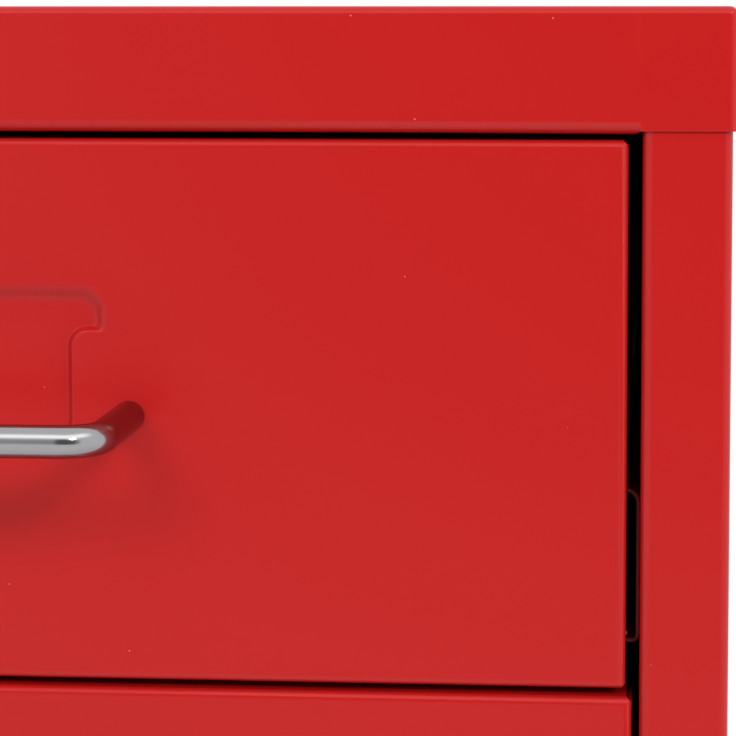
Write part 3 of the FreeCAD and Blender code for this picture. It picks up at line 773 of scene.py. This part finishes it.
for number in range(1, 5):
    low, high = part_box(f"castor_axle_{number}")
    swivel = Vector(((low.x + high.x) / 2, (low.y + high.y) / 2 - castor_trail, 0))
    axle = Vector((swivel.x, (low.y + high.y) / 2, (low.z + high.z) / 2))
    bm = bmesh.new()
    outline = [
        (fork_tail, crown, 0), (fork_nose, crown, 0), (fork_tip, shoulder, crown_round),
        (fork_tip, shank_foot, shank_round), (shank_back, shank_foot, shank_round),
        (shank_back, shank_throat, throat_round), (fork_tail, shoulder, crown_round),
    ]
    verts = [bm.verts.new((-fork_half, y, z)) for y, z, rounding in outline]
    bm.faces.new(verts)
    for vert, (y, z, rounding) in zip(verts, outline):
        if rounding:
            bmesh.ops.bevel(
                bm, geom=[vert], offset=rounding, offset_type="OFFSET", segments=6,
                profile=0.5, affect="VERTICES", material=-1,
            )
    drawn = bmesh.ops.extrude_face_region(bm, geom=bm.faces[:])["geom"]
    moved = [part for part in drawn if isinstance(part, bmesh.types.BMVert)]
    bmesh.ops.translate(bm, verts=moved, vec=(2 * fork_half, 0, 0))
    bmesh.ops.recalc_face_normals(bm, faces=bm.faces)
    kept = on(bm.faces, z=crown) + on(bm.faces, x=-fork_half) + on(bm.faces, x=fork_half)
    bmesh.ops.delete(bm, geom=[face for face in bm.faces if face not in kept], context="FACES")
    bend(bm, [edge for edge in bm.edges if len(edge.link_faces) == 2], fork_fold)
    bmesh.ops.solidify(bm, geom=bm.faces, thickness=fork_sheet)
    bmesh.ops.translate(bm, verts=bm.verts, vec=swivel)
    outline = [
        (0.0, race_bore, 0), (0.0, race_foot, race_foot_round), (race_shoulder, race_brim, race_round),
        (race_height, race_brim, race_round), (race_height, race_bore, race_edge),
    ]
    fork = gather([bm, lathe(outline, "z", swivel + Vector((0, 0, crown)))])
    castor = f"castor_{number}"
    settle(fork, f"{castor}_fork", castor, zinc_plate, [f"castor_fork_{number}"], fork_edge)

    tip = (high.x - low.x) / 2
    collar = tip - rivet_height
    side = [
        (tip, 0.0, 0), (tip, rivet_radius, rivet_dome),
        (collar, rivet_radius, rivet_rim), (collar, axle_radius, 0),
    ]
    bm = lathe(both_ways(side), "x", axle, axle_sides)
    settle(bm, f"{castor}_axle", castor, zinc_plate, [f"castor_axle_{number}"], edge=0)

    side = [
        (tread_half, wheel_radius, tread_round), (rim_half, rim_radius, tread_round),
        (rim_half, rim_bore, rim_round), (web_half, web_rim, web_rim_round),
        (web_half, web_hub, web_hub_round), (hub_half, hub_radius, hub_round),
        (hub_half, hub_bore, hub_edge),
    ]
    bm = lathe(both_ways(side), "x", axle, wheel_sides)
    wheel = f"wheel_{number}"
    settle(bm, f"{castor}_wheel", wheel, black_moulding, [f"castor_wheel_{number}"], edge=0)

    head = base_low.z
    outline = [
        (clinch_low, 0.0, 0), (clinch_low, clinch_radius, clinch_round),
        (clinch_high, clinch_radius, clinch_edge), (clinch_high, stem_radius, 0),
        (head - collar_height, stem_radius, 0), (head - collar_height, collar_radius, collar_round),
        (head, collar_radius, collar_edge), (head, stem_radius, 0),
        (head + stem_rise, stem_radius, stem_point), (head + stem_rise, 0.0, 0),
    ]
    stems.append(lathe(outline, "z", (swivel.x, swivel.y, 0)))
    seat = head + wall_sheet
    outline = [
        (0.0, stem_radius, 0), (0.0, flange_radius, flange_edge),
        (flange_height, flange_radius, flange_round), (flange_height, stem_radius, 0),
    ]
    stems.append(lathe(outline, "z", (swivel.x, swivel.y, seat)))
    bm = bmesh.new()
    ends = []
    for z, radius in ((nut_foot, nut_radius), (nut_shoulder, nut_radius), (nut_head, nut_chamfer)):
        ring = bmesh.ops.create_circle(bm, cap_ends=False, radius=radius, segments=nut_flats)["verts"]
        bmesh.ops.translate(bm, verts=ring, vec=(0, 0, z))
        ends.append(list({edge for vert in ring for edge in vert.link_edges}))
    bore = bmesh.ops.create_circle(bm, cap_ends=False, radius=stem_radius, segments=bore_sides)["verts"]
    bmesh.ops.translate(bm, verts=bore, vec=(0, 0, nut_head))
    rim = list({edge for vert in bore for edge in vert.link_edges})
    bmesh.ops.bridge_loops(bm, edges=ends[0] + ends[1])
    bmesh.ops.bridge_loops(bm, edges=ends[1] + ends[2])
    bmesh.ops.triangle_fill(bm, use_beauty=True, use_dissolve=False, edges=ends[2] + rim)
    bmesh.ops.contextual_create(bm, geom=ends[0])
    bmesh.ops.translate(bm, verts=bm.verts, vec=(swivel.x, swivel.y, seat))
    stems.append(bm)
settle(gather(stems), "stems_and_nuts", "casing", zinc_plate, ["castor_stems"], edge=0)


# Studio
# A pale floor that fades to white, soft lights, a room that only the object sees, and the camera
# at the photograph's place and angle.

world = bpy.data.worlds.new("studio")
world.use_nodes = True
bpy.context.scene.world = world
background = world.node_tree.nodes["Background"]
rays = world.node_tree.nodes.new("ShaderNodeLightPath").outputs
seen = Tap(rays["Is Camera Ray"])
mirrored = Tap(rays["Is Glossy Ray"]) + Tap(rays["Is Transmission Ray"])
aim = Tap(world.node_tree.nodes.new("ShaderNodeTexCoord").outputs["Generated"])


def towards(direction, near, far):
    """1 where the world lies along a direction, falling to 0 away from it; limits are cosines."""
    way = Vector(direction).normalized()
    dot = aim.node("ShaderNodeVectorMath", {"operation": "DOT_PRODUCT"}, {0: aim, 1: way}, 1)
    return dot.ease(far, near)


up, window_side, dim_side = (0, 0, 1), (0.05, -1.0, 0.60), (0.25, -1.0, 0.1)
right, left, viewer = (1.0, 0, 0.3), (-1.0, 0, 0.3), (0.1, -1.0, 0.05)
window_gain, dim_loss = 1.3, 0.84
room_base, room_gain, left_share, viewer_loss = 0.44, 0.56, 0.8, 0.42

window = (towards(up, 0.64, 0.40) - towards(up, 0.90, 0.72)) * towards(window_side, 0.75, 0.35)
dim = towards(dim_side, 0.975, 0.80) * (towards(up, -0.16, -0.22) - towards(up, 0.50, 0.36))
wall = 1.0 + window_gain * window - dim_loss * dim
sides = towards(right, 0.95, 0.1) + left_share * towards(left, 0.95, 0.1)
room = room_base + room_gain * sides - viewer_loss * towards(viewer, 0.97, 0.80)
level = seen + (1 - seen) * (mirrored * wall + (1 - mirrored) * room)
world.node_tree.links.new(level.socket, background.inputs["Strength"])
background.inputs["Color"].default_value = (1.0, 1.0, 1.0, 1.0)

floor_radius = 1.70
floor_grey = (0.70, 0.70, 0.70, 1.0)
fade_start, fade_end = 0.75, 1.55
bm = bmesh.new()
bmesh.ops.create_circle(bm, cap_ends=True, radius=floor_radius, segments=96)
floor = bpy.data.objects.new("floor", bpy.data.meshes.new("floor"))
bpy.context.scene.collection.objects.link(floor)
bm.to_mesh(floor.data)
bm.free()
ground, shader, place = finish("pale_floor", "")
feed(shader, base_color=floor_grey, roughness=0.9)
reach = place.node("ShaderNodeVectorMath", {"operation": "LENGTH"}, {0: place}, 1)
nodes, links = ground.node_tree.nodes, ground.node_tree.links
rays = nodes.new("ShaderNodeLightPath").outputs
seen = Tap(rays["Is Camera Ray"]) + Tap(rays["Is Glossy Ray"]) + Tap(rays["Is Transmission Ray"])
fade = reach.ease(fade_start, fade_end) * seen
white = nodes.new("ShaderNodeEmission")
blend = nodes.new("ShaderNodeMixShader")
links.new(fade.socket, blend.inputs[0])
links.new(shader.outputs[0], blend.inputs[1])
links.new(white.outputs[0], blend.inputs[2])
links.new(blend.outputs[0], nodes["Material Output"].inputs["Surface"])
floor.data.materials.append(ground)


def lamp(name, place, target, size, power, mirrored=True):
    """A soft light aimed at a point; one that isn't mirrored gives no highlight."""
    light = bpy.data.lights.new(name, "AREA")
    light.shape = "RECTANGLE"
    light.size, light.size_y = size
    light.energy = power
    stand = bpy.data.objects.new(name, light)
    bpy.context.scene.collection.objects.link(stand)
    stand.location = place
    stand.rotation_euler = (Vector(target) - Vector(place)).to_track_quat("-Z", "Y").to_euler()
    stand.visible_camera = False
    stand.visible_glossy = mirrored


top_drawer = (0.05, -0.2, 0.60)
lamp("key_softbox", (-0.35, -1.55, 1.40), top_drawer, (0.60, 0.38), 7.5, False)
lamp("right_softbox", (0.85, -1.65, 1.40), top_drawer, (0.20, 0.18), 5)
lamp("right_key", (0.85, -1.65, 1.42), top_drawer, (0.90, 0.60), 11.5, False)
lamp("side_softbox", (1.8, 0.05, 1.1), (0.0, 0.0, 0.45), (1.0, 1.4), 4, False)
lamp("top_softbox", (0.2, -0.1, 2.3), (0.0, 0.0, 0.60), (1.4, 1.2), 4, False)
lamp("rear_fill", (-1.2, 1.3, 1.0), (0.0, 0.0, 0.40), (1.0, 1.2), 12, False)

photo_width = 736
focal_pixels = 2921.8
sensor = 36.0
look_down, look_left = 4.901, 4.836
camera = bpy.data.objects.new("camera", bpy.data.cameras.new("camera"))
bpy.context.scene.collection.objects.link(camera)
camera.location = (0.1253, -0.6973, 0.6884)
camera.rotation_euler = (math.radians(90 - look_down), 0, math.radians(look_left))
camera.data.sensor_width = sensor
camera.data.lens = sensor * focal_pixels / photo_width
camera.data.shift_x, camera.data.shift_y = -0.0490, -0.1388
camera.data.clip_start = 0.01
bpy.context.scene.camera = camera
bpy.context.scene.view_settings.view_transform = "Standard"
